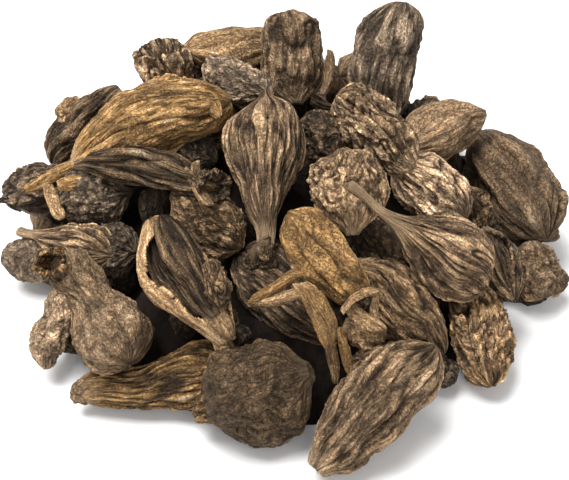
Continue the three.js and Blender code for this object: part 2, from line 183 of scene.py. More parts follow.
SHOWN_PODS = [
    ("middle", "pear", (266, 92, 38), (264, 266, 20), 15.2, 0, "ribbed", "brown", 1.15),
    ("golden_left", "long", (230, 99, 36), (78, 165, 23), 16, 2, "cracked", "gold", 1.4),
    ("left_back", "long", (51, 160, 12), (122, 90, 24), 9.4, 0, "coarse", "brown", 0.6),
    ("left_far", "long", (60, 117, 18), (84, 106, 21), 5.5, 0, "lumpy", "tan", 1.2),
    ("left_open", "open", (4, 198, 10), (92, 180, 18), 13, 0, "rough", "pale", 0.85),
    ("left_seeds", "round", (134, 193, 20), (57, 200, 16), 13, 0, "net", "grey", 0.95),
    ("left_ribbed", "pear", (114, 257, 16), (20, 229, 12), 9.5, 0, "ribbed", "brown", 1.7),
    ("left_under", "round", (136, 256, 15), (86, 244, 13), 10.5, 0, "net", "grey", 0.6),
    ("left_low", "long", (2, 264, 6), (72, 252, 8), 9.5, 0, "fine", "grey", 1.05),
    ("left_broken", "club", (132, 363, 10), (66, 256, 17), 15.4, -0.5, "lumpy", "brown", 0.8),
    ("left_front", "long", (46, 370, 4), (69, 286, 14), 7.6, 0, "lumpy", "pale", 1.4),
    ("split_middle", "open", (148, 221, 28), (227, 341, 15), 13.6, 1.4, "smooth", "tan", 1.55),
    ("curled_left", "long", (218, 188, 28), (78, 162, 25), 8.2, 1.5, "pleated", "tan", 0.5),
    ("dark_small", "round", (216, 162, 26), (176, 146, 25), 8, 0, "net", "grey", 0.5),
    ("dark_round", "round", (242, 250, 19), (172, 196, 23), 12.5, 0, "net", "tan", 0.95),
    ("grey_back", "round", (272, 100, 34), (202, 68, 32), 10.5, 0, "net", "grey", 1.65),
    ("back_stub", "cup", (160, 45, 33), (178, 112, 18), 12.4, 0, "ribbed", "pale", 2.2),
    ("back_gold", "long", (188, 46, 32), (276, 36, 30), 10.6, 1.6, "bare", "tan", 0.95),
    ("back_upright", "long", (290, 8, 40), (294, 106, 26), 13.5, 0, "coarse", "brown", 0.7),
    ("back_tall", "long", (400, 1, 42), (386, 128, 24), 14.6, 1.5, "coarse", "grey", 1),
    ("back_pale", "broad", (486, 111, 26), (402, 150, 25), 12.5, 0, "smooth", "brown", 1.15),
    ("rough_top", "long", (339, 93, 36), (414, 169, 27), 12.4, 0, "rough", "brown", 1.45),
    ("round_middle", "round", (340, 147, 37), (352, 232, 26), 15, 0, "net", "brown", 1.85),
    ("right_stalked", "stalked", (488, 284, 15), (350, 188, 36), 15, 0, "ribbed", "brown", 1.55),
    ("right_oval", "long", (468, 218, 20), (398, 164, 26), 12, 0, "ribbed", "pale", 2.85),
    ("right_small", "long", (482, 232, 14), (464, 186, 19), 8, 0, "rough", "tan", 0.9),
    ("right_broad", "long", (546, 239, 10), (480, 135, 17), 16.8, 0, "furrowed", "red", 0.5),
    ("right_under", "round", (508, 246, 5), (472, 198, 9), 12, 0, "net", "grey", 0.5),
    ("right_low", "long", (546, 297, 4), (531, 240, 11), 9.8, 0, "lumpy", "brown", 0.8),
    ("right_open", "open", (512, 298, 12), (486, 230, 19), 9, 0, "ribbed", "brown", 0.8),
    ("right_tan", "long", (490, 384, 5), (468, 278, 11), 11.7, 0, "rough", "tan", 2.1),
    ("right_ribbed", "long", (442, 352, 9), (350, 258, 23), 11.5, 0, "ribbed", "tan", 0.95),
    ("dark_right", "round", (398, 290, 13), (352, 212, 20), 11, 0, "net", "brown", 0.6),
    ("golden_middle", "long", (289, 213, 33), (360, 304, 20), 12, 0, "furrowed", "gold", 0.95),
    ("front_under", "long", (238, 256, 16), (340, 340, 10), 15, 0, "ribbed", "brown", 0.6),
    ("front_round", "round", (204, 410, 6), (308, 372, 13), 20, 0, "fine", "tan", 0.35),
    ("front_right", "long", (432, 346, 15), (312, 472, 4), 15, 0.8, "coarse", "brown", 1.05),
    ("front_long", "club", (236, 370, 8), (80, 393, 4), 12.4, -0.3, "ribbed", "gold", 0.85),
    ("front_hidden", "long", (453, 378, 4), (410, 356, 6), 7, 0, "net", "grey", 0.6),
    ("top_small", "round", (310, 112, 31), (338, 160, 27), 9, 0, "net", "brown", 0.5),
    ("low_knob", "long", (566, 285, 4), (540, 276, 8), 6.4, 0, "lumpy", "brown", 0.85),
]

# How far a split pod is turned about its axis, in degrees, from facing the viewer.
ROLLS = {"split_middle": 38, "left_open": -75, "right_open": 20}

# The dents of a piece come by chance from a number: a shown pod's place in the list, or one of these.
SEEDS = {"golden_middle": 33, "front_round": 44, "golden_left": 52}
FIRST_SEEDS = {"pulp": 30, "rear": 60, "lower": 200, "flakes": 300, "lumps": 330, "cups": 360, "stubs": 370}

# ---- Torn strips and flakes of husk: name, nose, stalk, width, bow, roll, hue, lightness ----

FLAKES = [
    ("prong_upper", (250, 303, 19), (318, 262, 28), 2.8, 0.3, 160, "gold", 1.2),
    ("prong_lower", (250, 305, 18), (312, 292, 25), 2.8, -0.3, 200, "tan", 1.3),
    ("strap_top", (329, 352, 18), (299, 280, 28), 4.6, -1, 175, "gold", 1.1),
    ("strap_tail", (331, 384, 10), (326, 330, 21), 2.2, -0.3, 190, "tan", 1.2),
    ("curl_rise", (376, 288, 25), (340, 316, 21), 1.8, -0.8, 170, "tan", 1.2),
    ("curl_fall", (381, 330, 18), (374, 286, 25), 1.9, 0.9, 190, "tan", 1.1),
    ("scrap_fold", (388, 330, 19), (346, 308, 20), 4, 0.8, 150, "tan", 1.3),
    ("scrap_edge", (352, 376, 13), (342, 330, 17), 3, 0.5, 180, "gold", 1.2),
    ("flap_square", (94, 178, 22.5), (60, 186, 22), 3, 0, 180, "gold", 1.4),
    ("flap_long", (26, 186, 18), (78, 160, 25), 2.8, -0.6, 170, "gold", 1.4),
    ("flap_hanging", (64, 220, 17), (50, 178, 20), 3, 0.5, 190, "tan", 1.6),
    ("split_flap", (228, 336, 17), (214, 292, 23), 5.4, 1.2, 170, "tan", 1.2),
    ("split_tip", (232, 360, 12), (200, 312, 17), 4.6, -0.6, 150, "tan", 1.7),
    ("curled_end", (212, 204, 29), (198, 160, 31), 3, 1.2, 190, "tan", 1.2),
    ("curled_lip", (216, 186, 29), (186, 166, 31), 2.6, 0.8, 200, "tan", 1.1),
    ("fringe_upper", (518, 254, 16), (484, 230, 19), 1.8, 0.6, 180, "brown", 1.6),
    ("fringe_lower", (520, 288, 13), (492, 242, 18), 1.8, 0.6, 180, "brown", 1.5),
    ("fringe_inner", (512, 296, 13), (490, 262, 17), 1.6, 0.6, 180, "brown", 1.5),
    ("upright_flap", (328, 54, 35), (322, 96, 29), 3, 0.8, 200, "brown", 1.0),
    ("golden_tear", (224, 116, 36), (190, 84, 37), 3.4, -0.8, 190, "gold", 1.2),
    ("gold_back_tear", (182, 60, 29), (200, 34, 30), 3, 0.6, 180, "tan", 1.2),
]

# ---- Knobs where flowers dried on, and crumbs: name, nose, stalk, width, wrinkles, hue, lightness ----

LUMPS = [
    ("round_knob", (199, 416, 4), (228, 397, 11), 6.6, "rough", "gold", 0.9),
    ("long_knob", (70, 396, 3.5), (96, 392, 5), 5, "lumpy", "brown", 0.9),
    ("tan_knob", (514, 362, 6), (496, 350, 8), 4.2, "rough", "tan", 1.1),
    ("broad_tail", (557, 236, 7), (536, 228, 11), 4.6, "smooth", "red", 0.7),
    ("low_stub", (519, 294, 3), (534, 272, 8), 5, "rough", "brown", 0.9),
    ("neck_knob", (270, 269, 18), (254, 250, 23), 6.4, "rough", "tan", 0.6),
    ("scrap_body", (388, 342, 16), (346, 324, 18), 6.6, "lumpy", "tan", 0.9),
    ("scrap_ridge", (384, 348, 15), (350, 364, 13), 3.6, "rough", "tan", 1.1),
    ("split_pulp", (158, 216, 30), (216, 318, 21), 8, "pleated", "tan", 0.5),
    ("split_lobe", (222, 306, 23), (208, 258, 27), 6.6, "rough", "tan", 1.0),
    ("split_beads", (214, 326, 17), (202, 286, 21), 4, "rough", "gold", 1.2),
    ("knob_pale", (306, 272, 25), (292, 262, 26), 4.6, "bare", "grey", 1.5),
    ("scrap_upper", (372, 306, 21), (356, 298, 22), 4.4, "rough", "brown", 0.6),
    ("crumb_back", (196, 54, 29), (206, 90, 22), 7, "net", "brown", 0.5),
    ("crumb_upper", (240, 314, 16), (220, 318, 15), 4.2, "rough", "grey", 0.5),
    ("crumb_lower", (232, 338, 13), (250, 328, 14), 4.4, "rough", "grey", 0.45),
    ("crumb_left", (210, 344, 12), (230, 352, 10), 4.6, "rough", "grey", 0.4),
]

# ---- Broken ends, hollow cups that open at the nose: name, nose, stalk, width, wrinkles, hue, lightness ----

CUPS = [
    ("broken_ring", (50, 264, 20), (66, 260, 13), 6, "rough", "gold", 1.2),
    ("torn_end", (216, 186, 30), (196, 176, 29), 7.6, "rough", "brown", 0.8),
]

# ---- The rear, which a rule fills ----

HEAP_RADIUS = 57
HEAP_HEIGHT = 40
POD_LENGTH = (20, 31)
POD_WIDTH = (11, 15.5)
POD_THICKNESS = 0.88    # as a share of the width
REAR_SEED = 5
REAR_DRAWS = 6000
REAR_LIMIT = 40         # pods at most
REAR_KINDS = ["pear", "stalked", "round", "long", "broad", "open"]
REAR_HUES = ["brown", "brown", "tan", "grey", "red"]
REAR_LIGHT = (0.6, 1.35)
REAR_DEEPEST = 9        # how far under the dome the last pods lie, in the gaps
REAR_SINK = 3           # how deep two pods may reach into each other
REAR_MIDDLE = (-0.1, 0.8)  # the middle of the dome
REAR_FROM = 15          # a rear pod's middle is behind this, on the heap's middle line
REAR_SKEW = 0.42        # and the line goes forward this much to either side
REAR_STEEPEST = 0.75
REAR_CLEAR = (425, 110)  # no rear pod shows right of this column and above this row
GAP_SAMPLES = 6

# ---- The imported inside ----

CORE_MIDDLE = (0.9, 2.8)
CORE_RADIUS = 44
CORE_DEPTH = 12         # under the axes of the pods that lie on it
CORE_BLEND = 12
CORE_LOWEST = 4
CORE_LIFT = 0.2         # its rim stands this high
CORE_FOOT = 0.01        # and its foot this high
CORE_EDGE = 6           # the power by which its top falls to the rim
CORE_MARKS = (0.15, 0.35, 0.6, 0.85)
CORE_SIDES = 48
CORE_CUTS = 7
LOWER_WIDTH = 9         # of a pod that stands under another and carries it
LOWER_UNDER = 0.55      # where on the upper pod's length
LOWER_REACH = 0.3       # and how far under its axis, as a share of its width
LOWER_FOOT = (5, 2)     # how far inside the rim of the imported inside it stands, and how high
LOWER_SHORTEST = 8
# The pods that carry others are kept dark: painted shade, since they lie deep in the gaps.
LOWER_SHADED_LIGHTNESS = 0.26

# ---- Split husks, flakes and knobs ----

HUSK_WALL = 0.6
FLAKE_WALL = 0.45
FLAKE_OPENING = 1.9     # the share that a flake lacks: above 1 it is less than half a husk
PULP_SHARE = 0.76       # of the width of the husk that it fills
PULP_LIGHT = 0.55
LUMP_RIBS = 7           # a lump's width over the depth of its ribs
FLAKE_WRINKLES = {"ridges": 40, "folds": 0.3, "ribs": 0.35}
CUP_WRINKLES = {"ridges": 30, "ribs": 0.5}
LUMP_WRINKLES = {"ridges": 34, "folds": 0.5}

# ---- The stage ----

FLOOR_SIZE = 6
MAIN_LIGHT_SIZE = 0.55
MAIN_LIGHT_PLACE = (-0.25, 0.06, 0.77)
FRONT_LIGHT_SIZE = 0.6
FRONT_LIGHT_PLACE = (0.15, -0.8, 0.6)
FRONT_LIGHT_SHARE = 0.22  # of the main light's power


class Draws:
    """A plain counter that gives the same draws each run."""

    def __init__(self, seed):
        self.state = seed

    def between(self, low, high):
        self.state = (self.state * 1664525 + 1013904223) & 0xFFFFFFFF
        return low + (high - low) * self.state / 4294967296

    def pick(self, names):
        return names[int(self.between(0, len(names)))]


# ---- Where the pods lie ----


def point_of(reading):
    """The point of a reading, in metres: where its line of sight is the given height up."""
    column, row, height = reading
    sight = TO_EYE * (-PIXELS_PER_METRE * VIEW_DISTANCE)
    sight += VIEW_RIGHT * (column - PICTURE_MIDDLE[0]) + VIEW_UP * (PICTURE_MIDDLE[1] - row)
    return EYE + sight * ((height * MM - EYE.z) / sight.z)


def reading_of(point):
    """The column and row at which a point shows."""
    sight = point - EYE
    scale = PIXELS_PER_METRE * VIEW_DISTANCE / -sight.dot(TO_EYE)
    return PICTURE_MIDDLE[0] + sight.dot(VIEW_RIGHT) * scale, PICTURE_MIDDLE[1] - sight.dot(VIEW_UP) * scale


def shows_in_clear(pod):
    for along in (0, 0.5, 1):
        column, row = reading_of(pod["stalk"].lerp(pod["nose"], along))
        if column > REAR_CLEAR[0] and row < REAR_CLEAR[1]:
            return True
    return False


def share_at(outline, along):
    for (s0, r0), (s1, r1) in zip(outline, outline[1:]):
        if along <= s1:
            return r0 + (r1 - r0) * (along - s0) / (s1 - s0)
    return outline[-1][1]


def read_pod(name, kind, nose, stalk, width, bow, wrinkles, hue, light, roll=0, towards=TO_EYE):
    """A pod from its readings, turned by the roll about its axis from facing the given way."""
    nose, stalk = point_of(nose), point_of(stalk)
    return dict(
        name=name, kind=kind, nose=nose, stalk=stalk, width=width * MM, bow=bow * MM, wrinkles=wrinkles,
        hue=hue, light=light, faces=Matrix.Rotation(math.radians(roll), 3, nose - stalk) @ towards,
    )


def read_lump(row, kind, towards):
    """A lump or a broken end from its row, which gives neither a kind nor a bow."""
    name, nose, stalk, width, *look = row
    return read_pod(name, kind, nose, stalk, width, 0, *look, towards=towards)


def shown_pods():
    return [read_pod(*row, roll=ROLLS.get(row[0], 0)) for row in SHOWN_PODS]


def balls_along(pod):
    """Balls that fill a pod, to measure the gap to its neighbours."""
    balls = []
    for step in range(GAP_SAMPLES):
        along = (step + 0.5) / GAP_SAMPLES
        radius = share_at(OUTLINES[pod["kind"]], along) * pod["width"] / 2
        balls.append((pod["stalk"].lerp(pod["nose"], along), radius))
    return balls


def gap_between(a, b):
    return min((pa - pb).length - ra - rb for pa, ra in balls_along(a) for pb, rb in balls_along(b))


def rear_pods(shown):
    """Pods on the rear of a dome, each turned as chance has it, and none below the surface."""
    draws = Draws(REAR_SEED)
    looks = Draws(REAR_SEED)
    pods = []
    for attempt in range(REAR_DRAWS):
        if len(pods) == REAR_LIMIT:
            break
        turn = draws.between(0, math.tau)
        rise = draws.between(0, 1)
        reach = math.sqrt(1 - rise ** 2)
        length = draws.between(*POD_LENGTH)
        width = draws.between(*POD_WIDTH)
        yaw = draws.between(0, math.tau)
        sunk = REAR_DEEPEST * attempt / REAR_DRAWS
        kind = draws.pick(REAR_KINDS)
        outward = Vector((math.sin(turn), math.cos(turn), 0))
        faces = (outward * (HEAP_HEIGHT * reach) + Vector((0, 0, HEAP_RADIUS * rise))).normalized()
        middle = outward * (HEAP_RADIUS * reach) + Vector((*REAR_MIDDLE, HEAP_HEIGHT * rise))
        middle -= faces * (width / 2 + sunk)
        level = Vector((outward.y, -outward.x, 0))
        downhill = level.cross(faces)
        along = level * math.cos(yaw) + downhill * math.sin(yaw)
        nose = middle + along * (length / 2)
        stalk = middle - along * (length / 2)
        belly = middle.z - width / 2 * POD_THICKNESS
        lowest_end = min(nose.z, stalk.z) - width / 8
        in_rear = middle.y > REAR_FROM - REAR_SKEW * abs(middle.x)
        lies = min(belly, lowest_end) > -REAR_SINK and abs(along.z) < REAR_STEEPEST
        if not (in_rear and lies):
            continue
        pod = dict(
            name=f"rear_{len(pods)}", kind=kind, nose=nose * MM, stalk=stalk * MM, faces=faces,
            width=width * MM, bow=0,
        )
        if shows_in_clear(pod):
            continue
        if all(gap_between(pod, other) > -REAR_SINK * MM for other in shown + pods):
            pod["wrinkles"] = looks.pick(list(WRINKLES))
            pod["hue"] = looks.pick(REAR_HUES)
            pod["light"] = looks.between(*REAR_LIGHT)
            pods.append(pod)
    return pods


def mound_height(pods):
    """A function of x and y: the height of the pods' axes there, blended from pod to pod."""
    marks = []
    for pod in pods:
        for along in CORE_MARKS:
            marks.append(pod["stalk"].lerp(pod["nose"], along) / MM)

    def height(x, y):
        weights = 0
        total = 0
        for mark in marks:
            away = (mark.x - x) ** 2 + (mark.y - y) ** 2
            weight = (mark.z / (away + CORE_BLEND)) ** 2
            weights += weight
            total += weight * mark.z
        return total / weights

    return height


def lower_pods(pods):
    """Under each pod another stands on end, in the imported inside, and reaches up to its belly."""
    inside, foot = LOWER_FOOT
    lower = []
    for number, pod in enumerate(pods):
        nose = pod["stalk"].lerp(pod["nose"], LOWER_UNDER) / MM
        nose.z -= LOWER_REACH * pod["width"] / MM
        away = Vector((nose.x - CORE_MIDDLE[0], nose.y - CORE_MIDDLE[1], 0))
        faces = Vector((-away.y, away.x, 0)).normalized()
        if away.length > CORE_RADIUS - inside:
            away *= (CORE_RADIUS - inside) / away.length
        stalk = Vector((CORE_MIDDLE[0] + away.x, CORE_MIDDLE[1] + away.y, foot))
        if (nose - stalk).length > LOWER_SHORTEST:
            lower.append(dict(
                name=f"lower_{number}", kind="long", nose=nose * MM, stalk=stalk * MM, faces=faces,
                width=LOWER_WIDTH * MM, bow=0, wrinkles="net", hue="brown", light=LOWER_SHADED_LIGHTNESS,
            ))
    return lower


# ---- Node patterns written as formulas ----


class Formula:
    """Its calls add nodes and give back an output. Words in capitals are sockets, others are options."""

    def __init__(self, tree):
        self.tree = tree

    def node(self, kind, *inputs, **named):
        node = self.tree.nodes.new(kind)
        sockets = {key: value for key, value in named.items() if key[0].isupper()}
        for key, value in named.items():
            if key not in sockets:
                setattr(node, key, value)
        for number, value in enumerate(inputs):
            self.put(node.inputs[number], value)
        self.fill(node, **sockets)
        return node

    def fill(self, node, **sockets):
        for name, value in sockets.items():
            self.put(node.inputs[name.replace("_", " ")], value)

    def put(self, socket, value):
        if isinstance(value, bpy.types.NodeSocket):
            self.tree.links.new(value, socket)
        elif value is not None:
            socket.default_value = value

    def result(self, kind, *inputs, **named):
        return self.node(kind, *inputs, **named).outputs[0]

    def math(self, operation, a, b=None):
        return self.result("ShaderNodeMath", a, b, operation=operation)

    def chain(self, operation, first, *others):
        for other in others:
            first = self.math(operation, first, other)
        return first

    def add(self, *values):
        return self.chain("ADD", *values)

    def times(self, *values):
        return self.chain("MULTIPLY", *values)

    def most(self, *values):
        return self.chain("MAXIMUM", *values)

    def minus(self, a, b):
        return self.math("SUBTRACT", a, b)

    def vector(self, operation, a, b=None):
        return self.result("ShaderNodeVectorMath", a, b, operation=operation)

    def scaled(self, vector, scale):
        return self.result("ShaderNodeVectorMath", vector, operation="SCALE", Scale=scale)

    def stretched(self, vector, x, y, z):
        return self.vector("MULTIPLY", vector, (x, y, z))

    def combine(self, x, y, z):
        return self.result("ShaderNodeCombineXYZ", x, y, z)

    def split(self, vector):
        return self.node("ShaderNodeSeparateXYZ", vector).outputs

    def ranged(self, value, low, high, to_low=0.0, to_high=1.0, smooth=False):
        kind = "SMOOTHSTEP" if smooth else "LINEAR"
        return self.result("ShaderNodeMapRange", value, low, high, to_low, to_high, interpolation_type=kind)

    def noise(self, vector, scale=1.0, detail=2.0, roughness=0.5, output=0):
        return self.node(
            "ShaderNodeTexNoise", Vector=vector, Scale=scale, Detail=detail, Roughness=roughness,
        ).outputs[output]

    def drift(self, vector, scale, detail):
        """A noise as a push, of up to half a unit each way along each axis."""
        return self.vector("SUBTRACT", self.noise(vector, scale, detail, output=1), (0.5, 0.5, 0.5))

    def away(self, vector, detail):
        """How far a noise is from its middle value: 0 on thin lines that wind and branch."""
        return self.math("ABSOLUTE", self.add(self.times(self.noise(vector, 1.0, detail), 2), -1))

    def lines(self, away, width):
        """1 on the thin lines, 0 beside them."""
        return self.ranged(away, 0, width, 1, 0, smooth=True)

    def pillow(self, away, width):
        """-1 on the lines, rising steeply and then rounding off to 0 between them."""
        left = self.minus(1, self.math("MINIMUM", self.times(away, 1 / width), 1))
        return self.times(left, left, -1)

    def attribute(self, name, output=2):
        return self.node("ShaderNodeAttribute", attribute_name=name, attribute_type="GEOMETRY").outputs[output]

    def object_place(self):
        return self.node("ShaderNodeTexCoord").outputs["Object"]

    def mixed(self, factor, a, b):
        node = self.node("ShaderNodeMix", factor, data_type="RGBA")
        self.put(node.inputs[6], a)
        self.put(node.inputs[7], b)
        return node.outputs[2]

    def bump(self, rise, reach):
        """A relief that only shows in the light: its rise is a share of the reach in millimetres."""
        return self.result("ShaderNodeBump", Strength=1.0, Distance=reach * MM, Height=rise)


def ridge_lines(f, place):
    """The lines of a husk, as three noises: creases, fine creases and raised crests."""
    place = f.vector("ADD", place, f.stretched(f.drift(place, 2.3, 2.0), 0.45, 0.45, 0.3))
    main = f.away(place, 1.5)
    fine = f.away(f.stretched(place, 2.3, 2.3, 2.6), 2.0)
    crest = f.away(f.vector("ADD", f.stretched(place, 1.2, 1.2, 1.3), (9.1, 4.7, 2.3)), 2.0)
    return main, fine, crest


def fold_lines(f, grain):
    """The few long folds, which follow the pod and don't wander."""
    return f.away(f.stretched(grain, 1.0, 1.0, 0.9), 0.5)


# ---- The husk: how a straight unit pod is laid in its place and wrinkled ----

HUSK_NUMBERS = [
    "Seed", "Width", "Bow", *(part.capitalize() for part in WRINKLE_PARTS), "Light", "Gold", "Grey", "Neck",
    "Opening",
]
HUSK_VECTORS = ["Stalk", "Nose", "Faces"]
HUSK_KEPT = ["Crest", "Stain", "Light", "Gold", "Grey"]


def husk_tree():
    """Geometry nodes that take a unit pod, with its axis on Z, and lay, dent and wrinkle it."""
    tree = bpy.data.node_groups.get("wrinkled_husk")
    if tree:
        return tree
    tree = bpy.data.node_groups.new("wrinkled_husk", "GeometryNodeTree")
    sockets = [("Geometry", "INPUT", "Geometry")]
    sockets += [(name, "INPUT", "Float") for name in HUSK_NUMBERS]
    sockets += [(name, "INPUT", "Vector") for name in HUSK_VECTORS]
    for name, way, kind in [*sockets, ("Geometry", "OUTPUT", "Geometry")]:
        tree.interface.new_socket(name, in_out=way, socket_type="NodeSocket" + kind)
    f = Formula(tree)
    given = tree.nodes.new("NodeGroupInput").outputs
    x, y, z = f.split(f.result("GeometryNodeInputPosition"))
    share = f.math("SQRT", f.add(f.times(x, x), f.times(y, y)))
    cos, sin, _ = f.split(f.vector("NORMALIZE", f.combine(x, y, 0)))
    grain = f.combine(cos, sin, f.add(z, f.times(given["Seed"], 7.13)))

    # The pod's own frame: along from stalk to nose, side across the view, front towards what it faces.
    whole = f.vector("SUBTRACT", given["Nose"], given["Stalk"])
    length = f.node("ShaderNodeVectorMath", whole, operation="LENGTH").outputs[1]
    along = f.vector("NORMALIZE", whole)
    side = f.vector("NORMALIZE", f.vector("CROSS_PRODUCT", given["Faces"], along))
    front = f.vector("CROSS_PRODUCT", along, side)

    # Dents and lobes change how far the surface stands off the axis, and the axis drifts.
    dents = f.ranged(f.noise(f.stretched(grain, 0.9, 0.9, 1.7)), 0.2, 0.8, 0.82, 1.18)
    angle = f.math("ARCTAN2", y, x)
    lobes = f.add(0.95, f.times(0.05, f.math("COSINE", f.add(f.times(angle, 3), given["Seed"]))))
    half = f.times(given["Width"], 0.5, f.times(dents, lobes))
    hump = f.times(z, f.minus(1, z), 4)
    sideways = f.add(f.times(x, half), f.times(given["Bow"], hump))
    forwards = f.times(y, half, POD_THICKNESS)
    laid = f.vector("ADD", given["Stalk"], f.scaled(along, f.times(z, length)))
    laid = f.vector("ADD", laid, f.scaled(side, sideways))
    laid = f.vector("ADD", laid, f.scaled(front, forwards))
    laid = f.vector("ADD", laid, f.scaled(f.drift(laid, DRIFT_SCALE, 1.0), AXIS_DRIFT * MM))

    # The lines run along the pod and wander; the body is the same surface measured in millimetres.
    turns = f.times(given["Ridges"], 1 / 7)
    place = f.vector("MULTIPLY", grain, f.combine(turns, turns, given["Run"]))
    place = f.vector("ADD", place, f.scaled(f.drift(grain, 2.2, 2.0), given["Wander"]))
    millimetres = f.times(given["Width"], 500)
    body = f.vector("MULTIPLY", grain, f.combine(millimetres, millimetres, f.times(length, 1000)))
    main, fine, crest = ridge_lines(f, place)
    creases = f.pillow(main, 0.3)
    ribs = f.ranged(f.noise(f.stretched(place, 0.45, 0.45, 0.5), 1.0, 1.0), 0.25, 0.75, -1, 1)
    patches = f.ranged(f.noise(f.stretched(grain, 1.2, 1.2, 2.6)), 0.36, 0.6, 0.3, 1.0)
    crumples = f.pillow(f.away(f.stretched(body, 0.6, 0.6, 0.6), 2.0), 0.3)
    depth = f.add(
        f.times(creases, given["Ridge"]),
        f.times(f.pillow(fold_lines(f, grain), 0.16), given["Folds"]),
        f.times(f.pillow(fine, 0.3), f.times(given["Fine"], patches)),
        f.times(f.lines(crest, 0.14), given["Crest"]),
        f.times(crumples, f.times(given["Crumple"], patches)),
        f.times(ribs, given["Ribs"]),
        f.times(given["Ridge"], 0.35),
    )
    slim = f.ranged(f.times(share, millimetres), 0, 5, 0.2, 1.0)
    body_part = f.ranged(z, f.times(given["Neck"], 0.8), f.add(given["Neck"], 0.12), 0.25, 1.0)

    vectors = {"grain": grain, "place": place, "body": body}
    numbers = {name.lower(): given[name] for name in HUSK_KEPT}
    # relief is low in the creases and high on the ribs; the colour is painted darker where it is low, partly
    # dirt and partly painted shade.
    numbers["relief"] = f.ranged(f.add(creases, ribs), -1.2, 0.6)
    numbers["height"] = f.times(depth, f.times(slim, body_part), MM)
    numbers["barkiness"] = body_part
    geometry = given["Geometry"]
    for data_type, values in (("FLOAT_VECTOR", vectors), ("FLOAT", numbers)):
        for name, value in values.items():
            geometry = f.result(
                "GeometryNodeStoreNamedAttribute", Geometry=geometry, Name=name, Value=value,
                data_type=data_type, domain="POINT",
            )

    # A split pod loses a ragged window on the side that it faces.
    window = f.add(f.times(f.minus(sin, 0.45), 1.6), f.times(f.minus(f.noise(grain, 3.0, 3.0), 0.5), 0.9))
    near_ends = f.math("POWER", f.math("ABSOLUTE", f.minus(f.times(z, 2), 1)), 3)
    window = f.minus(window, f.times(near_ends, f.ranged(given["Opening"], 1, 1.5, 1.4, -0.5)))
    window = f.add(window, f.times(f.minus(given["Opening"], 1), 1.1))
    cut = f.times(f.math("GREATER_THAN", window, 0.0), f.math("GREATER_THAN", given["Opening"], 0.0))
    geometry = f.result("GeometryNodeDeleteGeometry", Geometry=geometry, Selection=cut, domain="FACE")
    geometry = f.result("GeometryNodeSetPosition", Geometry=geometry, Position=laid)
    height = f.result("GeometryNodeInputNamedAttribute", Name="height", data_type="FLOAT")
    raised = f.scaled(f.result("GeometryNodeInputNormal"), height)
    geometry = f.result("GeometryNodeSetPosition", Geometry=geometry, Offset=raised)
    # What would reach below the surface that the heap lies on is flat there.
    px, py, pz = f.split(f.result("GeometryNodeInputPosition"))
    resting = f.combine(px, py, f.most(pz, 0))
    geometry = f.result("GeometryNodeSetPosition", Geometry=geometry, Position=resting)
    geometry = f.result("GeometryNodeRemoveAttribute", Geometry=geometry, Name="height")
    f.node("NodeGroupOutput", geometry)
    return tree


def deselect_all():
    if bpy.context.object and bpy.context.object.mode != "OBJECT":
        bpy.ops.object.mode_set(mode="OBJECT")
    bpy.ops.object.select_all(action="DESELECT")


def make_active(piece):
    deselect_all()
    piece.select_set(True)
    bpy.context.view_layer.objects.active = piece


def edit_whole():
    bpy.ops.object.mode_set(mode="EDIT")
    bpy.ops.mesh.select_all(action="SELECT")


def leave_edit():
    """Turns all faces outwards and goes back to the object."""
    bpy.ops.mesh.select_all(action="SELECT")
    bpy.ops.mesh.normals_make_consistent(inside=False)
    bpy.ops.object.mode_set(mode="OBJECT")


# ---- The unit pods ----

# sides, rings between stalk and nose; each is halved once more when the pod is rounded
DETAILS = {"fine": (46, 26), "middling": (38, 22), "plain": (28, 16), "small": (16, 8), "hidden": (8, 4)}

# Stations along the pod, with the share of the stalk's or the nose's own width.
STALK_CUT = [(0.02, 0.12), (0.016, 0.5), (0, 0.75), (0, 1)]
NOSE_END = [(0.995, 1), (1, 0.55), (1, 0.12)]
KNOB_STATIONS = (0.91, 0.935, 0.955, 0.98)
CUP_LIP = [(0.96, 1), (1, 0.95)]
CUP_INSIDE = [(1, 0.8), (0.75, 0.66), (0.4, 0.5), (0.35, 0.06)]  # from the lip of a cup down into it


def smooth_share(outline, along):
    """The outline as a smooth line: each stretch leaves and enters its points at their slope."""
    stations = [station for station, _ in outline]
    shares = [share for _, share in outline]
    slopes = []
    for i in range(len(outline)):
        low, high = max(i - 1, 0), min(i + 1, len(outline) - 1)
        slopes.append((shares[high] - shares[low]) / (stations[high] - stations[low]))
    i = max(k for k in range(len(outline) - 1) if stations[k] <= along or k == 0)
    span = stations[i + 1] - stations[i]
    t = (along - stations[i]) / span
    near = shares[i] * (2 * t ** 3 - 3 * t ** 2 + 1) + slopes[i] * span * (t ** 3 - 2 * t ** 2 + t)
    far = shares[i + 1] * (3 * t ** 2 - 2 * t ** 3) + slopes[i + 1] * span * (t ** 3 - t ** 2)
    return near + far


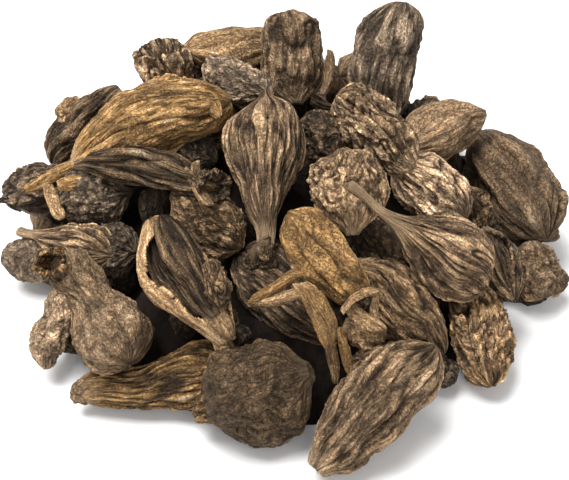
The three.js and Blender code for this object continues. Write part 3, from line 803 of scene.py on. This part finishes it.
def model_unit_pod(kind, detail):
    """A straight pod on Z, one metre long, with its outline's shares as its radii and a cut stalk."""
    name = f"unit_{kind}_{detail}"
    if name in bpy.data.objects:
        return bpy.data.objects[name]
    sides, rings = DETAILS[detail]
    outline = PROFILES[kind]
    stalk = outline[0][1]
    nose = outline[-1][1]
    stations = [(along, stalk * share) for along, share in STALK_CUT]
    for ring in range(1, rings + 1):
        along = KNOB_STATIONS[0] * ring / (rings + 1)
        stations.append((along, smooth_share(outline, along)))
    if kind == "cup":
        stations += [(along, nose * share) for along, share in CUP_LIP] + CUP_INSIDE
    else:
        stations += [(along, smooth_share(outline, along)) for along in KNOB_STATIONS]
        stations += [(along, nose * share) for along, share in NOSE_END]
    deselect_all()
    height, share = stations[0]
    bpy.ops.mesh.primitive_circle_add(vertices=sides, radius=share, location=(0, 0, height))
    piece = bpy.context.object
    piece.name = name
    bpy.ops.object.transform_apply(location=True, rotation=False, scale=False)
    edit_whole()
    bpy.ops.mesh.edge_face_add()
    for next_height, next_share in stations[1:]:
        bpy.ops.mesh.extrude_region_move(TRANSFORM_OT_translate={"value": (0, 0, next_height - height)})
        grow = next_share / share
        bpy.ops.transform.resize(value=(grow, grow, 1), center_override=(0, 0, next_height))
        height, share = next_height, next_share
    leave_edit()
    modifier = piece.modifiers.new("round", "SUBSURF")
    modifier.levels = 1
    modifier.render_levels = 1
    bpy.ops.object.modifier_apply(modifier=modifier.name)
    bpy.ops.object.shade_smooth()
    return piece


def lay_husk(pod, detail, seed, shrink=1.0, opening=0.0, **changes):
    """A copy of the unit pod of the kind, laid and wrinkled as the pod says."""
    unit = model_unit_pod(pod["kind"], detail)
    piece = unit.copy()
    piece.data = unit.data.copy()
    piece.name = pod["name"]
    bpy.context.scene.collection.objects.link(piece)
    make_active(piece)
    tree = husk_tree()
    modifier = piece.modifiers.new("husk", "NODES")
    modifier.node_group = tree
    numbers = {**dict(zip(WRINKLE_PARTS, WRINKLES[pod["wrinkles"]])), **changes}
    numbers.update({name: pod[name] for name in ("bow", "light", "stalk", "nose", "faces")})
    numbers.update(seed=seed, width=pod["width"] * shrink, neck=NECKS[pod["kind"]], opening=opening)
    numbers["gold"], numbers["grey"] = HUES[pod["hue"]]
    numbers["ridges"] *= pod["width"] / (RIDGES_WIDTH * MM)
    for item in tree.interface.items_tree:
        if item.in_out == "INPUT" and item.name.lower() in numbers:
            value = numbers[item.name.lower()]
            modifier[item.identifier] = tuple(value) if isinstance(value, Vector) else float(value)
    bpy.ops.object.modifier_apply(modifier=modifier.name)
    return piece


def lay_all(pods, detail, part, **changes):
    """Like pods, each with the dents of its own number."""
    return [lay_husk(pod, detail, FIRST_SEEDS[part] + number, **changes) for number, pod in enumerate(pods)]


def make_shell(husk, thickness):
    """Gives an opened husk its wall, inwards from its outer face."""
    wall = husk.modifiers.new("wall", "SOLIDIFY")
    wall.thickness = thickness * MM
    wall.offset = -1
    make_active(husk)
    bpy.ops.object.modifier_apply(modifier=wall.name)


def join_pieces(pieces, name, material=None):
    """Joins like pieces into one that sits at the origin, rides with the heap and has its finish."""
    deselect_all()
    for piece in pieces:
        piece.select_set(True)
    bpy.context.view_layer.objects.active = pieces[0]
    if len(pieces) > 1:
        bpy.ops.object.join()
    whole = bpy.context.object
    whole.name = name
    whole.data.name = name
    whole.data.materials.clear()
    whole.data.materials.append(material or material_of("dry_husk", dry_husk))
    bpy.ops.object.shade_smooth()
    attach(whole, "root")
    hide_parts("pod_heap")
    return whole


# ---- Finishes ----


def linear(value):
    return ((value + 0.055) / 1.055) ** 2.4 if value > 0.04045 else value / 12.92


def colour(red, green, blue):
    """A colour as it looks on a screen, 0 to 255, as the linear one that a material takes."""
    return tuple(linear(v / 255) for v in (red, green, blue))


def tone(settings, name, share=1):
    """A colour of the settings, or a share of it, as a material takes it."""
    return (*(v * share for v in getattr(settings, name + "_colour")), 1)


def material_of(name, build):
    """The material of this name. It is built when it is first asked for."""
    material = bpy.data.materials.get(name)
    if not material:
        material = bpy.data.materials.new(name)
        material.use_nodes = True
        tree = material.node_tree
        build(Formula(tree), tree.nodes["Principled BSDF"], bpy.context.scene.pod_heap)
    return material


def dry_husk(f, shader, settings):
    """Painted shade, partly dirt, darkens its creases, folds and pits, and painted highlights, partly wear,
    lighten its ridge tops and crests; it is streaked along the pod and blotched.
    """
    grain, place, body = (f.attribute(name, 1) for name in ("grain", "place", "body"))
    stain = f.attribute("stain")
    bark = f.attribute("barkiness")
    main, fine, crest = ridge_lines(f, place)
    patchy = f.ranged(f.noise(body, 0.35, 3.0, 0.6), 0.35, 0.6, 0.6, 1)
    valleys = f.times(f.ranged(main, 0.05, 0.32, 1, 0), f.times(bark, patchy))
    fine_valleys = f.times(f.ranged(fine, 0.02, 0.22, 1, 0), f.times(bark, f.minus(1.3, patchy)))
    folds = f.lines(fold_lines(f, grain), 0.05)
    crests = f.times(f.lines(crest, 0.1), f.times(f.attribute("crest"), 2))
    peaks = f.times(f.ranged(main, 0.24, 0.5), f.ranged(fine, 0.05, 0.3))
    pits = f.lines(f.away(f.scaled(body, 1.3), 3.0), 0.12)
    specks = f.noise(body, 2.6, 3.0, 0.65)
    fibres = f.noise(f.stretched(place, 6.0, 6.0, 1.6), 1.0, 3.0, 0.6)

    # Its colour
    ridge = f.mixed(f.attribute("gold"), tone(settings, "ridge"), tone(settings, "gold"))
    ridge = f.mixed(f.attribute("grey"), ridge, tone(settings, "grey"))
    # Painted highlights on the ridge tops and crests, and paler specks and stalk ends: all are mixed towards
    # the tip colour.
    worn_and_highlit = f.most(
        f.times(f.ranged(specks, 0.52, 0.68), 0.35), f.times(f.minus(1, bark), 0.5), f.times(peaks, 0.9),
        f.times(crests, 0.6),
    )
    ridge = f.mixed(worn_and_highlit, ridge, tone(settings, "tip"))
    # Painted shade, partly the husk's own darker creases: the creases, fine creases, folds and pits are mixed
    # towards the crease colour.
    dark_lines = ((valleys, 0.95), (fine_valleys, 0.65), (folds, 0.7))
    light_left = f.times(
        *(f.minus(1, f.times(line, share, stain)) for line, share in dark_lines),
        f.minus(1, f.times(pits, 0.4)), f.ranged(specks, 0.32, 0.48, 0.5, 1),
    )
    shade = f.mixed(light_left, tone(settings, "crease"), ridge)
    blotches = f.noise(f.object_place(), 190.0, 3.0, 0.55)
    # The relief makes the colour darker in the creases, partly dirt and partly painted shade, and lighter on
    # the ribs.
    value = f.times(
        f.attribute("light"), f.ranged(blotches, 0.34, 0.6, 0.68, 1.12), f.ranged(fibres, 0.3, 0.7, 0.7, 1.3),
        f.ranged(f.attribute("relief"), 0, 1, 0.72, 1.12),
    )

    # Its finest relief, in millimetres
    rise = f.times(f.add(f.times(valleys, 0.7), f.times(fine_valleys, 0.45)), f.add(f.times(stain, -0.7), -0.3))
    rise = f.minus(f.add(rise, f.add(f.times(crests, 0.6), f.times(peaks, 0.3))), f.times(pits, 0.3))
    rise = f.add(rise, f.times(specks, 0.3), f.times(fibres, 0.35))
    f.fill(
        shader, Base_Color=f.scaled(shade, value), Roughness=f.ranged(light_left, 0, 1, 0.9, 0.52),
        Specular_IOR_Level=0.25, Normal=f.bump(rise, 1.4),
    )


def gap_dark(f, shader, settings):
    """What lies in the gaps: the same husk, coloured so dark that it hardly shows, as painted shade in the
    gaps.
    """
    patches = f.noise(f.object_place(), 260.0, 4.0, 0.6)
    shade = f.mixed(f.ranged(patches, 0.4, 0.7), tone(settings, "gap", 0.3), tone(settings, "gap"))
    f.fill(shader, Base_Color=shade, Roughness=0.95, Specular_IOR_Level=0.1, Normal=f.bump(patches, 1.2))


def pale_floor(f, shader, settings):
    shade = f.mixed(f.noise(f.object_place(), 6.0), tone(settings, "floor", 0.98), tone(settings, "floor"))
    f.fill(shader, Base_Color=shade, Roughness=0.9, Specular_IOR_Level=0.1)


# ---- Settings ----


def swatch(name, description, red, green, blue):
    return bpy.props.FloatVectorProperty(
        name=name, description=description, subtype="COLOR", size=3, min=0, max=1,
        default=colour(red, green, blue),
    )


class HeapSettings(bpy.types.PropertyGroup):
    """Colours of the husks and of the floor, and the strength of the light."""

    ridge_colour: swatch("Ridges", "Colour of the husk on its ridges", 206, 167, 126)
    gold_colour: swatch("Gold", "Colour of the ridges of a golden husk", 220, 168, 102)
    grey_colour: swatch("Grey", "Colour of the ridges of a grey husk", 184, 160, 134)
    # Painted highlight, partly wear: the colour of the crests and ridge tops.
    tip_colour: swatch("Worn tips", "Colour of the husk where it is worn on its crests", 244, 214, 174)
    # Painted shade, partly the husk's own darker creases: the colour of the creases.
    crease_colour: swatch("Creases", "Colour deep in the creases of a husk", 26, 14, 7)
    # Painted shade: what lies deep in the gaps is coloured nearly black.
    gap_colour: swatch("Gaps", "Colour of what lies deep in the gaps", 32, 25, 20)
    floor_colour: swatch("Floor", "Colour of the floor", 250, 250, 250)
    key_power: bpy.props.FloatProperty(
        name="Main light", description="Power of the large light, up and to the left", default=12.0, min=0,
        unit="POWER",
    )
    sky_strength: bpy.props.FloatProperty(
        name="Sky", description="Strength of the even light from all round", default=0.5, min=0,
    )


# ---- Operators ----


class HEAP_OT_core(bpy.types.Operator):
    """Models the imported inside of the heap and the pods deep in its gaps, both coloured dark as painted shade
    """

    bl_idname = "pod_heap.core"
    bl_label = "Packed Inside"

    def execute(self, context):
        pods = shown_pods()
        pods += rear_pods(pods)
        height = mound_height(pods)
        deselect_all()
        bpy.ops.mesh.primitive_circle_add(vertices=CORE_SIDES, radius=CORE_RADIUS * MM, fill_type="TRIFAN")
        core = bpy.context.object
        edit_whole()
        bpy.ops.mesh.subdivide(number_cuts=CORE_CUTS)
        bpy.ops.object.mode_set(mode="OBJECT")
        for vertex in core.data.vertices:
            rim = math.sqrt(max(0.0, 1 - (vertex.co.length / (CORE_RADIUS * MM)) ** CORE_EDGE))
            vertex.co.x += CORE_MIDDLE[0] * MM
            vertex.co.y += CORE_MIDDLE[1] * MM
            top = height(vertex.co.x / MM, vertex.co.y / MM) - CORE_DEPTH
            vertex.co.z = (max(top, CORE_LOWEST) * rim + CORE_LIFT) * MM
        edit_whole()
        bpy.ops.mesh.extrude_region_move(TRANSFORM_OT_translate={"value": (0, 0, 0)})
        bpy.ops.transform.resize(value=(1, 1, 0), center_override=(0, 0, CORE_FOOT * MM))
        leave_edit()
        # The inside is coloured nearly black: painted shade in the gaps between the pods.
        join_pieces([core], "packed_inside", material_of("gap_dark", gap_dark))
        join_pieces(lay_all(lower_pods(pods), "hidden", "lower"), "lower_pods")
        return {"FINISHED"}


class HEAP_OT_pods(bpy.types.Operator):
    """Models the pods that show, joined by their kind, and the rear"""

    bl_idname = "pod_heap.pods"
    bl_label = "Pods"

    def execute(self, context):
        shown = shown_pods()
        groups = {}
        for number, pod in enumerate(shown):
            kind, width = pod["kind"], pod["width"]
            if kind in ("open", "cup"):
                continue
            slim = "slim_" if kind == "long" and width < SLIM_UNDER * MM else ""
            detail = "fine" if width > FINE_OVER * MM else "middling"
            husk = lay_husk(pod, detail, SEEDS.get(pod["name"], number))
            groups.setdefault(f"{slim}{kind}_pods", []).append(husk)
        for name, pieces in groups.items():
            join_pieces(pieces, name)
        rear = lay_all(rear_pods(shown), "plain", "rear")
        join_pieces(rear[::2], "rear_pods")
        join_pieces(rear[1::2], "more_rear_pods")
        return {"FINISHED"}


class HEAP_OT_husks(bpy.types.Operator):
    """Models the pods that have split open, and what is left inside them"""

    bl_idname = "pod_heap.husks"
    bl_label = "Split Husks"

    def execute(self, context):
        husks = []
        pulps = []
        for number, pod in enumerate(shown_pods()):
            if pod["kind"] != "open":
                continue
            husk = lay_husk(pod, "fine", number, opening=1.0)
            make_shell(husk, HUSK_WALL)
            husks.append(husk)
            pod.update(name=pod["name"] + "_pulp", wrinkles="pleated", hue="brown", light=PULP_LIGHT)
            pulps.append(lay_husk(pod, "plain", FIRST_SEEDS["pulp"] + number, shrink=PULP_SHARE))
        join_pieces(husks, "split_husks")
        join_pieces(pulps, "dried_pulp")
        return {"FINISHED"}


class HEAP_OT_scraps(bpy.types.Operator):
    """Models the torn strips and flakes of husk, the broken ends, the dried knobs and the crumbs"""

    bl_idname = "pod_heap.scraps"
    bl_label = "Scraps"

    def execute(self, context):
        strips = [
            read_pod(name, "strip", nose, stalk, width, bow, "smooth", hue, light, roll)
            for name, nose, stalk, width, bow, roll, hue, light in FLAKES
        ]
        flakes = lay_all(strips, "small", "flakes", opening=FLAKE_OPENING, **FLAKE_WRINKLES)
        for flake in flakes:
            make_shell(flake, FLAKE_WALL)
        join_pieces(flakes, "husk_flakes")
        rings = [read_lump(row, "cup", VIEW_UP) for row in CUPS]
        stubs = [pod for pod in shown_pods() if pod["kind"] == "cup"]
        cups = lay_all(rings, "plain", "cups", **CUP_WRINKLES) + lay_all(stubs, "middling", "stubs")
        join_pieces(cups, "broken_ends")
        lumps = []
        for number, row in enumerate(LUMPS, FIRST_SEEDS["lumps"]):
            lump = read_lump(row, "long", TO_EYE)
            lumps.append(lay_husk(lump, "small", number, ribs=row[3] / LUMP_RIBS, **LUMP_WRINKLES))
        join_pieces(lumps, "knobs_and_crumbs")
        return {"FINISHED"}


class HEAP_OT_stage(bpy.types.Operator):
    """Adds the floor, the lights and the camera"""

    bl_idname = "pod_heap.stage"
    bl_label = "Stage"

    def execute(self, context):
        settings = context.scene.pod_heap
        scene = context.scene
        deselect_all()
        bpy.ops.mesh.primitive_plane_add(size=FLOOR_SIZE, location=(0, 0, 0))
        floor = bpy.context.object
        floor.name = "floor"
        floor.data.materials.append(material_of("pale_floor", pale_floor))
        power = settings.key_power
        add_area_light("main_light", power, MAIN_LIGHT_SIZE, MAIN_LIGHT_PLACE)
        add_area_light("front_light", power * FRONT_LIGHT_SHARE, FRONT_LIGHT_SIZE, FRONT_LIGHT_PLACE)
        world = bpy.data.worlds.new("studio")
        world.use_nodes = True
        sky = world.node_tree.nodes["Background"]
        sky.inputs["Color"].default_value = (1, 1, 1, 1)
        sky.inputs["Strength"].default_value = settings.sky_strength
        scene.world = world
        scene.view_settings.view_transform = "Standard"
        data = bpy.data.cameras.new("camera")
        data.sensor_width = SENSOR_WIDTH
        data.lens = PIXELS_PER_METRE * VIEW_DISTANCE * SENSOR_WIDTH / PICTURE_SIZE[0]
        data.clip_start = 0.01
        scene.camera = add_to_scene("camera", data, EYE, -TO_EYE)
        return {"FINISHED"}


def add_to_scene(name, data, place, towards):
    """Adds a light or a camera that looks the given way."""
    item = bpy.data.objects.new(name, data)
    item.location = place
    item.rotation_euler = towards.to_track_quat("-Z", "Y").to_euler()
    bpy.context.scene.collection.objects.link(item)
    return item


def add_area_light(name, power, size, place):
    """Adds a light that looks at the middle of the heap's foot."""
    data = bpy.data.lights.new(name, "AREA")
    data.energy = power
    data.size = size
    add_to_scene(name, data, place, -Vector(place))


class HEAP_PT_sidebar(bpy.types.Panel):
    """Colours, light and steps of the heap"""

    bl_label = "Pod Heap"
    bl_idname = "HEAP_PT_sidebar"
    bl_space_type = "VIEW_3D"
    bl_region_type = "UI"
    bl_category = "Pod Heap"

    def draw(self, context):
        settings = context.scene.pod_heap
        for name in settings.bl_rna.properties.keys():
            if name not in ("rna_type", "name"):
                self.layout.prop(settings, name)
        for step in STEPS:
            self.layout.operator(step.bl_idname)


STEPS = (HEAP_OT_core, HEAP_OT_pods, HEAP_OT_husks, HEAP_OT_scraps, HEAP_OT_stage)
CLASSES = (HeapSettings, *STEPS, HEAP_PT_sidebar)


def register():
    for item in CLASSES:
        bpy.utils.register_class(item)
    bpy.types.Scene.pod_heap = bpy.props.PointerProperty(type=HeapSettings)


def unregister():
    del bpy.types.Scene.pod_heap
    for item in reversed(CLASSES):
        bpy.utils.unregister_class(item)


def clear_unit_pods():
    """The unit pods are patterns only, so they go once all copies are made."""
    for piece in [o for o in bpy.data.objects if o.name.startswith("unit_")]:
        bpy.data.objects.remove(piece)


def main():
    register()
    bpy.ops.pod_heap.core()
    bpy.ops.pod_heap.pods()
    bpy.ops.pod_heap.husks()
    bpy.ops.pod_heap.scraps()
    clear_unit_pods()
    bpy.ops.pod_heap.stage()
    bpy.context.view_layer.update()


if __name__ == "__main__":
    main()
